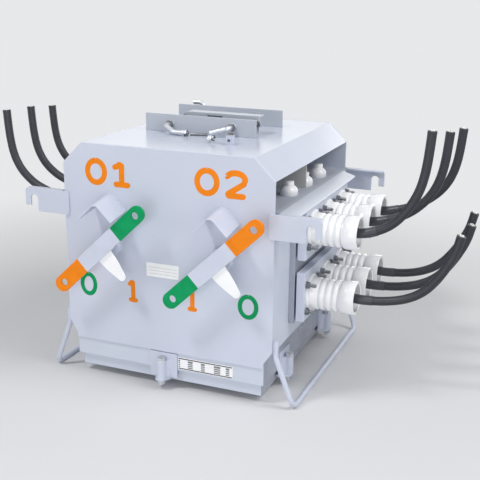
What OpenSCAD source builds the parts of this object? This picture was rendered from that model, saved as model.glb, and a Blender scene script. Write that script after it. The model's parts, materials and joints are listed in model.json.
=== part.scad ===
// Two-way vacuum load break switch for a pole or a rack.
// A steel case with two hand levers on its front plate, six line bushings on
// its right side, three load bushings on its left side, and the stub leads
// that come out of them. Millimetres, +Z up, the levers face -Y.
// Heights in the Customizer are measured from the bottom edge of the tank.

/* [Case] */
// Width of the end plates
case_w = 560; // [500:5:680]
// Depth over both end plates
case_d = 590; // [560:5:720]
// Height of the end plates' top edge
case_h = 560; // [520:5:680]
// Thickness of the end plates
plate_t = 5; // [3:0.5:8]
// Width and height of the cut on the end plates' top corners
top_cut = 52; // [30:1:70]
// Width of the step-in under the tank's sides
low_cut_w = 21; // [10:1:30]
// Height of the slanted part of that step-in
low_cut_h = 32; // [15:1:40]
// Height of the lower band of the tank
band_h = 60; // [55:1:80]
// Height of the end plates' bottom edge
plate_foot = 47; // [40:1:52]
// Thickness of the roof sheet
roof_t = 3; // [2:0.5:5]
// Height of the tank's top
tank_top = 426; // [410:1:440]
// Thickness of the tank's lid
lid_t = 6; // [4:0.5:10]
// Thickness of the board between the lid and the roof
board_t = 5; // [3:0.5:8]
// Overhang of the lid past the tank's sides
lid_over = 6; // [3:1:8]
// Depth of the drip pan under the tank
pan_h = 32; // [20:1:40]
// Set-back of the pan from the end plates' outer faces
pan_back = 15; // [10:1:25]
// Set-back of the pan from the band's sides
pan_side = 9; // [4:1:15]

/* [Line side] */
// Distance of the bushing plates' outer face from the tank's side
side_reach = 39; // [36:1:60]
// Depth of the folded bushing plates
side_plate_t = 20; // [12:1:22]
// Width of the bushing plates along the case
side_plate_w = 360; // [340:5:400]
// Height of one bushing plate
side_plate_h = 126; // [122:1:128]
// Gap between the two bushing plates
side_gap = 32; // [20:1:40]
// Distance of the rain lip's front end from the front plate's face
lip_front = 16; // [15:1:80]
// Distance of the rain lip's back end from the back plate's face
lip_back = 52; // [15:1:80]
// Reach of the sloped part of the rain lip
lip_reach = 36; // [30:1:42]
// Drop of the sloped part of the rain lip
lip_drop = 12; // [8:1:14]

/* [Bushings] */
// Length of a bushing from its seat to its mouth
bush_len = 118; // [100:1:140]
// Distance between neighbouring bushings
bush_pitch = 120; // [114:1:130]
// Height of the upper row of line bushings
upper_row_z = 362; // [356:1:364]
// Height of the lower row of line bushings
lower_row_z = 196; // [190:1:206]
// Height of the row of load bushings
load_row_z = 362; // [330:1:376]
// Length of a load bushing from its seat to its mouth
load_len = 84; // [76:1:120]
// Diameter of the bushing's neck
neck_d = 74; // [60:1:76]
// Diameter of the bushing's ribs
rib_d = 81; // [74:1:90]
// Diameter between the ribs
valley_d = 72; // [60:1:74]
// Diameter of the groove behind the end cup
groove_d = 67; // [56:1:70]
// Diameter of the bushing's end cup
cup_d = 84; // [76:1:96]
// Length of the end cup
cup_len = 37; // [30:1:45]
// Inner diameter of the end cup
cup_bore = 68; // [60:1:72]
// Depth of the end cup's inside
cup_depth = 39; // [25:1:44]
// Diameter of the bushing's seat flange
seat_d = 98; // [90:1:104]
// Diameter of the leads
lead_d = 22; // [18:1:26]

/* [Levers] */
// Distance between the two lever shafts
shaft_gap = 300; // [290:2:330]
// Height of the lever shafts
shaft_z = 312; // [280:1:330]
// Distance of the levers' outer face from the front plate
lever_out = 62; // [56:1:68]
// Distance between a lever's end holes
lever_holes = 280; // [240:2:290]
// Shift of a lever's round ends past its end holes
lever_over = 7; // [0:0.5:8]
// Width of a lever
lever_w = 41; // [30:1:44]
// Thickness of a lever
lever_t = 6; // [4:0.5:8]
// Diameter of the holes at a lever's ends
lever_hole_d = 18; // [10:0.5:22]
// Turn of a lever between its two positions
throw_angle = 87; // [60:1:100]
// Length of a pointer from the shaft
pointer_l = 96; // [80:1:110]
// Width of a pointer at the lever
pointer_w = 46; // [30:1:50]
// Diameter of a lever shaft
shaft_d = 20; // [14:0.5:24]
// Outer diameter of a shaft bearing
bearing_d = 36; // [30:1:44]
// Length of a shaft bearing
bearing_l = 34; // [24:1:40]
// Diameter of the flange round a shaft bearing
flange_d = 58; // [48:1:64]
// Thickness of the flange round a shaft bearing
flange_t = 16; // [8:1:20]

/* [Hoods] */
// Reach of a hood in front of the front plate
hood_reach = 76; // [60:1:84]
// Height of a hood's ridge above its shaft, at the plate
hood_rise = 127; // [122:1:140]
// Slope of a hood's ridge towards the front
hood_slope = 9; // [4:0.5:12]
// Length of each side of a hood, down its slope
hood_leg = 47; // [40:1:48]
// Thickness of a hood's sheet
hood_t = 2.5; // [2:0.5:4]
// Outer radius of a hood's ridge bend
hood_r = 16; // [8:1:20]

/* [Hanging gear] */
// Length of the roof rails
rail_l = 314; // [280:2:340]
// Offset of the rails' middle to the left
rail_shift = 20; // [0:1:30]
// Height of the rails above the roof
rail_h = 46; // [36:1:56]
// Thickness of the rails
rail_t = 4.5; // [3:0.5:6]
// Distance of the front rail from the front plate's face
front_rail_y = 242; // [200:1:260]
// Distance of the middle rail from the front plate's face
middle_rail_y = 287; // [270:1:310]
// Length of the middle rail
middle_rail_l = 216; // [160:2:280]
// Height of the middle rail above the roof
middle_rail_h = 50; // [44:1:60]
// Step-in of the middle rail's left end from the front rail's
middle_rail_in = 89; // [60:1:100]
// Distance of the back rail from the front plate's face
back_rail_y = 440; // [400:1:480]
// Diameter of the hook bolts on the rails
bolt_hook_d = 13; // [8:0.5:14]
// Diameter of the latch tube in front of the rails
latch_d = 10; // [8:0.5:13]
// Length of the latch tube with its end block
latch_l = 60; // [50:1:90]
// Reach of the side hook plates past the end plates
ear_reach = 114; // [100:1:130]
// Height of the side hook plates' top edge
ear_top = 434; // [420:1:460]
// Height of the side hook plates
ear_h = 60; // [50:1:70]
// Thickness of the side hook plates
ear_t = 5; // [4:0.5:8]
// Width of the slot in a side hook plate
ear_slot = 21; // [14:1:26]
// Width of the finger outside that slot
ear_finger = 16; // [12:1:22]

/* [Legs] */
// Height of the tank's bottom edge above the ground
leg_h = 52; // [50:1:70]
// Diameter of the leg bars
leg_d = 13; // [10:0.5:16]
// Distance of the leg bars' feet from the case's sides
leg_out = 54; // [40:1:70]
// Inner radius of the leg bars' bends
leg_bend = 16; // [10:1:20]

/* [Pan clamps] */
// Diameter of a clamp's half-round lug
lug_d = 22; // [18:1:26]
// Height of a lug's top above the tank's bottom edge
lug_top = 26; // [15:1:35]
// Height of a lug
lug_h = 46; // [30:1:48]
// Width of a clamp's plate on the band
clamp_w = 74; // [60:1:84]
// Height of the top of that plate above the tank's bottom edge
clamp_top = 44; // [38:1:45]
// Distance of a clamp's bolt from the band
clamp_stand = 17; // [12:1:22]
// Width of the pan's tongue under a clamp
tongue_w = 46; // [30:2:54]

/* [Hidden] */
$fn = 48;

paint = [0.78, 0.81, 0.87];
paint_shade = [0.66, 0.69, 0.75];
porcelain = [0.96, 0.96, 0.95];
zinc = [0.62, 0.64, 0.66];
board = [0.40, 0.41, 0.41];
lead_grey = [0.27, 0.29, 0.33];
orange = [0.97, 0.55, 0.13];

half_w = case_w / 2;
mid_y = case_d / 2;
inner_d = case_d - 2 * plate_t;
band_half = half_w - low_cut_w;
step_top = band_h + low_cut_h;
side_face = half_w + side_reach;
side_back = side_face - side_plate_t;
upper_plate_z = upper_row_z - 68;
lower_plate_z = upper_plate_z - side_gap - side_plate_h;
frame_t = side_back - half_w - 5;
roof_under = case_h - roof_t;
lid_z = tank_top + lid_t;
rail_z = case_h;
rail_left = -rail_shift - rail_l / 2;
bush_y = [mid_y - bush_pitch, mid_y, mid_y + bush_pitch];
lever_rest = throw_angle / 2;
running_gap = 0.05;
load_pad = 8;

// The origin is the middle of the footprint, on the ground.
right_reach = max(side_face + bush_len, half_w + ear_reach);
left_reach = half_w + max(load_pad + load_len, ear_reach);
front_reach = max(hood_reach, lever_out);
back_reach = case_d - plate_t + clamp_stand + lug_d / 2;
x_mid = (right_reach - left_reach) / 2;
y_mid = (back_reach - front_reach) / 2;

module place() translate([-x_mid, -y_mid, leg_h]) children();

// An outline in X and Z, given thickness along +Y from y.
module xz_slab(y, t) translate([0, y + t, 0]) rotate([90, 0, 0]) linear_extrude(t) children();

module block(x, y, z) translate([x[0], y[0], z[0]]) cube([x[1] - x[0], y[1] - y[0], z[1] - z[0]]);

// A round bar through a list of points, bent to one radius at each inner point.
// The straights are a little thicker than the bends and reach into them by bar_lap.
bar_over = 0.5;
bar_lap = 1;

function unit(v) = v / norm(v);

module bent_bar(points, d, r) {
  n = len(points);
  runs = [for (i = [0 : n - 2]) unit(points[i + 1] - points[i])];
  trims = [for (i = [0 : n - 1])
    i == 0 || i == n - 1 ? 0 : r * tan(acos(runs[i - 1] * runs[i]) / 2)];
  for (i = [0 : n - 2]) {
    start = points[i] + runs[i] * max(trims[i] - bar_lap, 0);
    end = points[i + 1] - runs[i] * max(trims[i + 1] - bar_lap, 0);
    translate(start) rotate([0, acos(runs[i][2]), atan2(runs[i][1], runs[i][0])])
      cylinder(d = d + bar_over, h = norm(end - start));
  }
  for (i = [1 : n - 2]) {
    in = runs[i - 1];
    inward = unit(runs[i] - in * (in * runs[i]));
    axis = cross(in, inward);
    centre = points[i] - in * trims[i] + inward * r;
    multmatrix([for (k = [0 : 2]) [-inward[k], in[k], axis[k], centre[k]]])
      rotate_extrude(angle = acos(in * runs[i])) translate([r, 0]) circle(d = d);
  }
}

// ---- case ----

function end_outline() = [
  [half_w - top_cut, case_h], [half_w, case_h - top_cut], [half_w, step_top],
  [band_half, band_h], [band_half, plate_foot], [-band_half, plate_foot],
  [-band_half, band_h], [-half_w, step_top], [-half_w, case_h - top_cut],
  [-half_w + top_cut, case_h]];

module front_plate() color(paint) place() xz_slab(0, plate_t) polygon(end_outline());

module back_plate() color(paint) place() xz_slab(case_d - plate_t, plate_t) polygon(end_outline());

// The right end of the roof's underside, where its eave bends down.
under_bend = half_w - top_cut - roof_t * tan(22.5);

module roof() color(paint) place() xz_slab(plate_t, inner_d) {
  flat = half_w - top_cut;
  eave = case_h - top_cut;
  slant = roof_t * sqrt(2);
  polygon([[flat, case_h], [half_w, eave], [half_w - slant, eave], [under_bend, roof_under],
    [-under_bend, roof_under], [-half_w + slant, eave], [-half_w, eave], [-flat, case_h]]);
}

// A board across the case, halfway back, from the lid up to the roof.
module bulkhead() color(board) place() {
  half = half_w - 22;
  shoulder = roof_under - (half - under_bend);
  xz_slab(mid_y - board_t / 2, board_t) polygon([[-half, lid_z], [half, lid_z], [half, shoulder],
    [under_bend, roof_under], [-under_bend, roof_under], [-half, shoulder]]);
}

module tank() color(paint_shade) place() xz_slab(plate_t, inner_d)
  polygon([[half_w, tank_top], [half_w, step_top], [band_half, band_h], [band_half, 0],
    [-band_half, 0], [-band_half, band_h], [-half_w, step_top], [-half_w, tank_top]]);

module tank_lid() color(paint_shade) place()
  block([-half_w - lid_over, half_w + lid_over], [plate_t, case_d - plate_t], [tank_top, lid_z]);

module drip_pan() {
  pan_half = band_half - pan_side;
  tongue_t = 5;
  tongue_z = lug_top - lug_h - tongue_t;
  nose = lug_d / 2;
  color(paint_shade) place() {
    block([-pan_half, pan_half], [pan_back, case_d - pan_back], [-pan_h, 0]);
    for (spot = clamp_spots()) translate([spot[0], spot[1], tongue_z]) rotate(spot[2])
      linear_extrude(tongue_t)
        polygon([[-tongue_w / 2, spot[3] + 1], [-tongue_w / 2, nose], [-nose, -nose],
          [nose, -nose], [tongue_w / 2, nose], [tongue_w / 2, spot[3] + 1]]);
  }
}

// ---- line side ----

module rain_lip() {
  lip_t = 3;
  root = half_w - 12;
  bend = half_w + 8;
  tip = bend + lip_reach;
  low = lid_z - lip_drop;
  color(paint) place() xz_slab(lip_front, case_d - lip_front - lip_back)
    polygon([[root, lid_z], [half_w + lid_over, lid_z], [tip, low], [tip, low + lip_t],
      [bend, lid_z + lip_t], [root, lid_z + lip_t]]);
}

module side_frame() {
  y0 = mid_y - side_plate_w / 2;
  y1 = mid_y + side_plate_w / 2;
  pad_w = 24;
  pad_y = [bush_y[0] + bush_pitch / 2, bush_y[1] + bush_pitch / 2];
  frame_x = half_w + frame_t;
  color(paint_shade) place() {
    block([half_w, frame_x], [y0, y1], [lower_plate_z - 8, tank_top]);
    for (y = pad_y) for (z = [upper_row_z, lower_row_z])
      block([frame_x, side_back], [y - pad_w / 2, y + pad_w / 2], [z - pad_w, z + pad_w]);
  }
}

module bushing_plate(z) {
  y0 = mid_y - side_plate_w / 2;
  block([side_back, side_face], [y0, y0 + side_plate_w], [z, z + side_plate_h]);
}

module upper_bushing_plate() color(paint) place() bushing_plate(upper_plate_z);

module lower_bushing_plate() color(paint) place() bushing_plate(lower_plate_z);

// ---- bushings ----

rib_w = 14;
rib_pitch = 17;
first_gap = 12;
seat_t = 9;

// One round hump of the profile, as radius and place along the axis.
function rib_points(h) =
  let (r = valley_d / 2, up = (rib_d - valley_d) / 2)
  [for (a = [0 : 30 : 180]) [r + up * sin(a), h - rib_w / 2 * cos(a)]];

// Revolved about +X, from the seat at x = 0 to the mouth at x = l.
// As many ribs as fit stand between the neck and the cup.
module bushing(l) rotate([0, 90, 0]) rotate_extrude($fn = 64) {
  cup_start = l - cup_len;
  rib_n = floor((cup_start - first_gap - rib_w - seat_t) / rib_pitch) + 1;
  first_rib = cup_start - first_gap - rib_pitch * (rib_n - 1);
  polygon(concat(
    [[0, 0], [seat_d / 2, 0], [seat_d / 2, seat_t - 3], [seat_d / 2 - 3, seat_t],
      [neck_d / 2, seat_t], [neck_d / 2, first_rib - rib_w / 2 - 2]],
    [for (i = [0 : rib_n - 1]) for (p = rib_points(first_rib + rib_pitch * i)) p],
    [[groove_d / 2, cup_start - 3], [cup_d / 2 - 3, cup_start], [cup_d / 2, cup_start + 4],
      [cup_d / 2, l - 1.5], [cup_d / 2 - 1.5, l], [cup_bore / 2, l],
      [cup_bore / 2, l - cup_depth], [0, l - cup_depth]]));
}

module bushing_row(x, z, l) for (y = bush_y) translate([x, y, z]) bushing(l);

module upper_bushings() color(porcelain) place() bushing_row(side_face, upper_row_z, bush_len);

module lower_bushings() color(porcelain) place() bushing_row(side_face, lower_row_z, bush_len);

module load_bushing_plate() color(paint) place() {
  y0 = mid_y - side_plate_w / 2;
  z_top = tank_top;
  block([-half_w - load_pad, -half_w], [y0, y0 + side_plate_w], [z_top - side_plate_h, z_top]);
}

module load_bushings() color(porcelain) place() mirror([1, 0, 0])
  bushing_row(half_w + load_pad, load_row_z, load_len);

// Insulators with round shoulders that stand on the lid, under the eaves of the roof.
module bay_insulators() {
  body_d = 46;
  body_h = 25;
  shoulder = 9;
  stud_d = 25;
  stud_h = 11;
  x = half_w - 38;
  side_r = body_d / 2 - shoulder;
  shoulder_z = body_h - shoulder;
  color(porcelain) place() for (y = bush_y) for (side = [-1, 1])
    translate([side * x, y + 30, lid_z]) rotate_extrude()
      polygon(concat([[0, 0], [body_d / 2, 0]],
        [for (a = [0 : 15 : 90]) [side_r + shoulder * cos(a), shoulder_z + shoulder * sin(a)]],
        [[stud_d / 2, body_h], [stud_d / 2, body_h + stud_h], [0, body_h + stud_h]]));
}

// ---- levers ----

lever_back = -lever_out + lever_t;
pointer_t = 3;

// Moves a lever's own frame, with its shaft on Y, to one side of the case.
module at_shaft(side) place() translate([side * shaft_gap / 2, 0, shaft_z]) children();

module lever_shape() xz_slab(-lever_out, lever_t) difference() {
  bar_l = lever_holes + 2 * lever_over;
  union() {
    square([bar_l, lever_w], center = true);
    for (s = [-1, 1]) translate([s * bar_l / 2, 0]) circle(d = lever_w);
  }
  for (s = [-1, 1]) translate([s * lever_holes / 2, 0]) circle(d = lever_hole_d);
}

module lever_left() color(orange) at_shaft(-1) rotate([0, -lever_rest, 0]) lever_shape();

module lever_right() color(orange) at_shaft(1) rotate([0, -lever_rest, 0]) lever_shape();

// A tongue with bulging sides and a round end, square to its lever.
module pointer_shape() xz_slab(lever_back, pointer_t) {
  tip_r = 11;
  side_l = pointer_l - tip_r;
  side = [for (t = [0 : 0.2 : 0.8]) [tip_r + (pointer_w / 2 - tip_r) * (1 - t * t), -side_l * t]];
  polygon(concat(side,
    [for (a = [0 : -15 : -180]) [tip_r * cos(a), tip_r * sin(a) - side_l]],
    [for (i = [len(side) - 1 : -1 : 0]) [-side[i][0], side[i][1]]]));
}

module pointer_left() color("white") at_shaft(-1) rotate([0, -lever_rest, 0]) pointer_shape();

module pointer_right() color("white") at_shaft(1) rotate([0, -lever_rest, 0]) pointer_shape();

// The shaft ends in the bearing, clear of the front plate.
module shaft_shape() rotate([90, 0, 0]) translate([0, 0, 1])
  cylinder(d = shaft_d, h = -lever_back - pointer_t - 1);

module shaft_left() color(zinc) at_shaft(-1) shaft_shape();

module shaft_right() color(zinc) at_shaft(1) shaft_shape();

module shaft_bearings() color(paint) for (side = [-1, 1]) at_shaft(side) rotate([90, 0, 0]) difference() {
  union() {
    cylinder(d = bearing_d, h = bearing_l);
    cylinder(d = flange_d, h = flange_t);
  }
  translate([0, 0, -1]) cylinder(d = shaft_d + 2 * running_gap, h = bearing_l + 2);
}

// ---- hoods ----

// The ridge bend of a bent sheet, from the top down one side, and that side's end.
function hood_bend(r, s) = [for (a = [90 : -9 : 45]) [s * r * cos(a), r * sin(a) - hood_r]];

function hood_end(r, s, leg) = [s * (r + leg) * sqrt(0.5), -hood_r + (r - leg) * sqrt(0.5)];

function hood_edge(r, leg) = concat(
  [hood_end(r, -1, leg)],
  [for (i = [5 : -1 : 1]) hood_bend(r, -1)[i]],
  hood_bend(r, 1),
  [hood_end(r, 1, leg)]);

function reversed(list) = [for (i = [len(list) - 1 : -1 : 0]) list[i]];

module hood(side) at_shaft(side) intersection() {
  translate([-case_w / 2, -hood_reach, 0]) cube([case_w, hood_reach, case_h]);
  translate([0, 0, hood_rise]) rotate([hood_slope, 0, 0]) xz_slab(-2 * hood_reach, 3 * hood_reach)
    polygon(concat(hood_edge(hood_r, hood_leg), reversed(hood_edge(hood_r - hood_t, hood_leg))));
}

module hood_left() color(paint) hood(-1);

module hood_right() color(paint) hood(1);

// ---- hanging gear ----

// An upright web with a shorter foot that lies on the roof behind it.
module rail(y) {
  foot_w = 40;
  foot_in = 24;
  translate([rail_left, y, rail_z]) {
    cube([rail_l, rail_t, rail_h]);
    translate([foot_in, 0, 0]) cube([rail_l - 2 * foot_in, foot_w, rail_t]);
  }
}

module front_rail() color(paint) place() rail(front_rail_y);

module back_rail() color(paint) place() rail(back_rail_y);

// A shorter web with a round top corner, a long hole and a fold at its top.
module middle_rail() {
  corner = 12;
  fold = 34;
  hole = [43, 10];
  hole_x = 70;
  color(paint) place() translate([rail_left + middle_rail_in, middle_rail_y, rail_z]) {
    xz_slab(0, rail_t) difference() {
      union() {
        square([middle_rail_l, middle_rail_h - corner]);
        translate([corner, 0]) square([middle_rail_l - corner, middle_rail_h]);
        translate([corner, middle_rail_h - corner]) circle(corner);
      }
      translate([hole_x, middle_rail_h - rail_t - hole[1]]) square(hole);
    }
    translate([corner, 0, middle_rail_h - rail_t]) cube([middle_rail_l - corner, fold, rail_t]);
  }
}

// Bent hook bolts: two in front of the front rail and one behind the back rail.
module hook_bolts() {
  d = bolt_hook_d;
  rest = rail_z + (d + bar_over) / 2;
  y = front_rail_y;
  back = back_rail_y + rail_t;
  top = rail_z + rail_h;
  color(zinc) place() {
    bent_bar([[-104, y, rest + 14], [-104, y - 28, rest + 14], [-74, y - 44, rest + 1],
      [-42, y - 46, rest + 1]], d, 14);
    bent_bar([[72, y, rest + 17], [72, y - 24, rest + 17], [27, y - 39, rest + 4]], d, 14);
    bent_bar([[-107, back, top - 26], [-107, back + 18, top - 26], [-109, back + 18, top + 5],
      [-139, back + 18, top + 5]], d, 14);
  }
}

// A tube held just over the roof by the drilled block on its right end.
module latch_tube() {
  block = [16, 20, 22];
  hole_d = 8;
  y = front_rail_y - 110;
  x = 121 - latch_l;
  color(paint_shade) place() {
    translate([x, y, rail_z + 12]) rotate([0, 90, 0]) cylinder(d = latch_d, h = latch_l - block.x);
    xz_slab(y - block.y / 2, block.y) translate([x + latch_l - block.x, rail_z]) difference() {
      square([block.x, block.z]);
      translate([block.x / 2, block.z / 2]) circle(d = hole_d);
    }
  }
}

// A hook plate: lapped on the end plate, open slot downwards, turned top edge.
module ear(y_plate, y_flange) {
  lap = 12;
  flange_w = 14;
  finger_up = 14;
  corner = 6;
  root = half_w - lap;
  tip = half_w + ear_reach;
  slot_x = tip - ear_finger - ear_slot / 2;
  slot_top = ear_top - 17 - ear_slot / 2;
  low = ear_top - ear_h;
  xz_slab(y_plate, ear_t) difference() {
    polygon([[root, low], [tip, low], [tip, ear_top - corner], [tip - corner, ear_top], [root, ear_top]]);
    translate([slot_x, slot_top]) circle(d = ear_slot);
    translate([slot_x - ear_slot / 2, low - 1]) square([ear_slot, slot_top - low + 1]);
    translate([slot_x, low - 1]) square([tip, finger_up + 1]);
  }
  block([half_w + lid_over + 1, tip - corner], [y_flange, y_flange + flange_w], [ear_top - ear_t, ear_top]);
}

module front_ear() ear(-ear_t, 0);

module back_ear() ear(case_d, case_d - 14);

module ear_front_right() color(paint) place() front_ear();

module ear_front_left() color(paint) place() mirror([1, 0, 0]) front_ear();

module ear_back_right() color(paint) place() back_ear();

module ear_back_left() color(paint) place() mirror([1, 0, 0]) back_ear();

// ---- legs ----

// A bent round bar: down the tank's side at the front, out, along the ground and up again.
module leg() {
  bend_z = 79;
  root_z = 120;
  bar_d = leg_d - bar_over;
  root_x = half_w + leg_d / 2;
  foot_x = half_w + leg_out;
  foot_z = leg_d / 2 - leg_h;
  y0 = plate_t + leg_d / 2;
  y1 = case_d - y0;
  bent_bar([[root_x, y0, root_z], [root_x, y0, bend_z], [foot_x, y0, foot_z],
    [foot_x, y1, foot_z], [root_x, y1, bend_z], [root_x, y1, root_z]], bar_d, leg_bend + leg_d / 2);
}

module legs() color(paint) place() {
  leg();
  mirror([1, 0, 0]) leg();
}

// ---- pan clamps ----

// Each spot: x and y of the clamp bolt, the turn that points +Y at the pan, and the reach to it.
function clamp_spots() =
  let (clamp_x = -9, side_y = [146, case_d - 112], front_y = plate_t - clamp_stand,
    side_x = band_half + clamp_stand, to_front = pan_back - front_y, to_side = clamp_stand + pan_side)
  concat(
    [[clamp_x, front_y, 0, to_front], [-clamp_x, case_d - front_y, 180, to_front]],
    [for (y = side_y) [side_x, y, 90, to_side]],
    [for (y = side_y) [-side_x, y, -90, to_side]]);

// Seen from above: a plate on the band, a web with hollow fillets and a round nose.
module clamp_outline() {
  plate = 4;
  face = clamp_stand - plate;
  fillet = min(face - 2, 10);
  nose = lug_d / 2;
  circle(d = lug_d);
  translate([-nose, 0]) square([lug_d, clamp_stand]);
  for (side = [-1, 1]) scale([side, 1]) difference() {
    translate([nose, face - fillet]) square([fillet, fillet + 1]);
    translate([nose + fillet, face - fillet]) circle(r = fillet);
  }
}

module pan_clamps() color(paint) place() for (spot = clamp_spots()) {
  foot = lug_top - lug_h;
  translate([spot[0], spot[1], foot]) rotate(spot[2]) {
    linear_extrude(lug_h) clamp_outline();
    translate([-clamp_w / 2, clamp_stand - 4, 0]) cube([clamp_w, 4, clamp_top - foot]);
  }
}

// ---- leads ----

// Routes from the middle of a cup's floor, as steps outwards and upwards:
// straight out of the cup, then up in one bend.
upper_route = [[0, 0], [20, 0], [40, 1], [60, 5], [80, 12], [100, 22], [119, 36], [136, 54],
  [151, 75], [164, 98], [174, 122], [181, 148], [186, 178], [190, 218], [193, 260]];
lower_route = [[0, 0], [24, 0], [48, -1], [72, 0], [96, 2], [120, 6], [144, 12], [167, 21],
  [188, 33], [207, 49], [223, 68], [238, 90], [252, 115], [266, 146], [277, 188]];
load_route = [[0, 0], [21, 0], [43, 1], [65, 4], [87, 9], [109, 16], [131, 24], [154, 34],
  [175, 48], [195, 66], [211, 88], [223, 115], [231, 150], [236, 192], [239, 234]];

// One lead's points: lean is its shift outwards past the bend, and drop shortens its top.
function lead_points(route, out, floor_x, y, z, lean, drop) =
  let (last = len(route) - 1)
  [for (i = [0 : last])
    let (t = min(max(i - 2, 0) / 7, 1), shift = lean * t * t * (3 - 2 * t))
    [floor_x + out * (route[i][0] + shift), y, z + route[i][1] - drop * pow(i / last, 4)]];

line_floor = side_face + bush_len - cup_depth;
load_floor = -half_w - load_pad - load_len + cup_depth;

function upper_lead(row, lean, drop) =
  lead_points(upper_route, 1, line_floor, bush_y[row], upper_row_z, lean, drop);

function lower_lead(row, lean, drop) =
  lead_points(lower_route, 1, line_floor, bush_y[row], lower_row_z, lean, drop);

function load_lead(row, lean, drop) =
  lead_points(load_route, -1, load_floor, bush_y[row], load_row_z, lean, drop);

lead_sides = 10;

function ring(points, i) =
  let (n = len(points), a = points[max(i - 1, 0)], b = points[min(i + 1, n - 1)], t = (b - a) / norm(b - a),
    side = [0, 1, 0], up = cross(t, side))
  [for (k = [0 : lead_sides - 1])
    let (w = 360 * k / lead_sides)
    points[i] + lead_d / 2 * (cos(w) * side + sin(w) * up)];

// One tube swept along every second point of a route.
module lead(route) {
  n = floor((len(route) + 1) / 2);
  rings = [for (i = [0 : n - 1]) ring(route, 2 * i)];
  s = lead_sides;
  walls = [for (i = [0 : n - 2]) for (k = [0 : s - 1]) let (m = (k + 1) % s)
    [i * s + k, i * s + m, (i + 1) * s + m, (i + 1) * s + k]];
  first = [for (k = [s - 1 : -1 : 0]) k];
  last = [for (k = [0 : s - 1]) (n - 1) * s + k];
  polyhedron([for (r = rings) for (p = r) p], concat(walls, [first, last]));
}

module lead_upper_front() color(lead_grey) place() lead(upper_lead(0, 0, 0));

module lead_upper_middle() color(lead_grey) place() lead(upper_lead(1, 22, 18));

module lead_upper_back() color(lead_grey) place() lead(upper_lead(2, 36, 26));

module lead_lower_front() color(lead_grey) place() lead(lower_lead(0, 0, 0));

module lead_lower_middle() color(lead_grey) place() lead(lower_lead(1, 7, 3));

module lead_lower_back() color(lead_grey) place() lead(lower_lead(2, -3, 1));

module lead_load_front() color(lead_grey) place() lead(load_lead(0, 0, 0));

module lead_load_middle() color(lead_grey) place() lead(load_lead(1, 6, 5));

module lead_load_back() color(lead_grey) place() lead(load_lead(2, 15, 17));

front_plate();
back_plate();
roof();
bulkhead();
tank();
tank_lid();
drip_pan();
rain_lip();
side_frame();
upper_bushing_plate();
lower_bushing_plate();
load_bushing_plate();
upper_bushings();
lower_bushings();
load_bushings();
bay_insulators();
hood_left();
hood_right();
shaft_bearings();
lever_left();
lever_right();
pointer_left();
pointer_right();
shaft_left();
shaft_right();
front_rail();
middle_rail();
back_rail();
hook_bolts();
latch_tube();
ear_front_left();
ear_front_right();
ear_back_left();
ear_back_right();
legs();
pan_clamps();
lead_upper_front();
lead_upper_middle();
lead_upper_back();
lead_lower_front();
lead_lower_middle();
lead_lower_back();
lead_load_front();
lead_load_middle();
lead_load_back();
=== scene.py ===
import json
import math

import bmesh
import bpy
from bpy.props import FloatProperty, FloatVectorProperty, IntProperty, PointerProperty
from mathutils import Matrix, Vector

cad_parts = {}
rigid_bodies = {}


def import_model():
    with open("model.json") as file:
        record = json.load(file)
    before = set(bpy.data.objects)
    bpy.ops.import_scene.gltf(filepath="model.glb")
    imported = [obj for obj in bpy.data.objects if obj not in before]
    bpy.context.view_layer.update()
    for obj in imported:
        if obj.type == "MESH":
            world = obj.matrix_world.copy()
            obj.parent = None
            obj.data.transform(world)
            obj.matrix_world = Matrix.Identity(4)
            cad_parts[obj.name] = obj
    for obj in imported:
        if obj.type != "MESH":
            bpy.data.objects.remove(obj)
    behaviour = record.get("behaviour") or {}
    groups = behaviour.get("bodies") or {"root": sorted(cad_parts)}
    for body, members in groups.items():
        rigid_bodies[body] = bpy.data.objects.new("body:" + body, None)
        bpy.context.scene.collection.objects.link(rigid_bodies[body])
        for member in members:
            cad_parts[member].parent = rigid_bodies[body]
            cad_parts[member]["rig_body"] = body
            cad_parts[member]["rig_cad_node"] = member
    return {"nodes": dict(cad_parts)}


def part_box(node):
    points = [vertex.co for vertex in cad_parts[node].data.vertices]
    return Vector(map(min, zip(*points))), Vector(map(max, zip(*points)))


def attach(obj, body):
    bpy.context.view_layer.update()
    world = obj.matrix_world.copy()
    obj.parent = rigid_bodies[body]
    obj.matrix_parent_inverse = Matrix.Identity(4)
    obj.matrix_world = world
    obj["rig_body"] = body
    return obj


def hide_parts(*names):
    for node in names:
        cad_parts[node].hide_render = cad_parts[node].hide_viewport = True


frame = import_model()

bl_info = {
    "name": "Load Break Switch Finish",
    "version": (1, 0, 0),
    "blender": (4, 5, 0),
    "location": "3D View > Sidebar > Load Switch",
    "description": "Builds the finished pieces of a two-way vacuum load break switch",
    "category": "Object",
}

# The case's own zero is the middle of the front plate's face, at the tank's bottom edge.
# Places below are in millimetres from it: x to the right, y to the back and z up.
PLATE_LOW, PLATE_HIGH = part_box("front_plate")
PLATE_FOOT = 0.047
ZERO = Vector(((PLATE_LOW.x + PLATE_HIGH.x) / 2, PLATE_LOW.y, PLATE_LOW.z - PLATE_FOOT))
CASE_DEPTH = 590
LEVERS = {"left": -150, "right": 150}
SHAFT_Z = 312
LEVER_TURN = math.radians(43.5)
BUSHING_Y = {"front": 175, "middle": 295, "back": 415}
UPPER_Z, LOWER_Z = 362, 196


def at(x, y, z):
    """A point in the row frame, from millimetres in the case's own zero."""
    return ZERO + Vector((x, y, z)) * 0.001


def shade(red, green, blue):
    """A paint chart's 0 to 255 values as the linear colour that a shader takes."""
    def linear(v):
        v /= 255
        return v / 12.92 if v <= 0.04045 else ((v + 0.055) / 1.055) ** 2.4
    return linear(red), linear(green), linear(blue)


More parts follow.
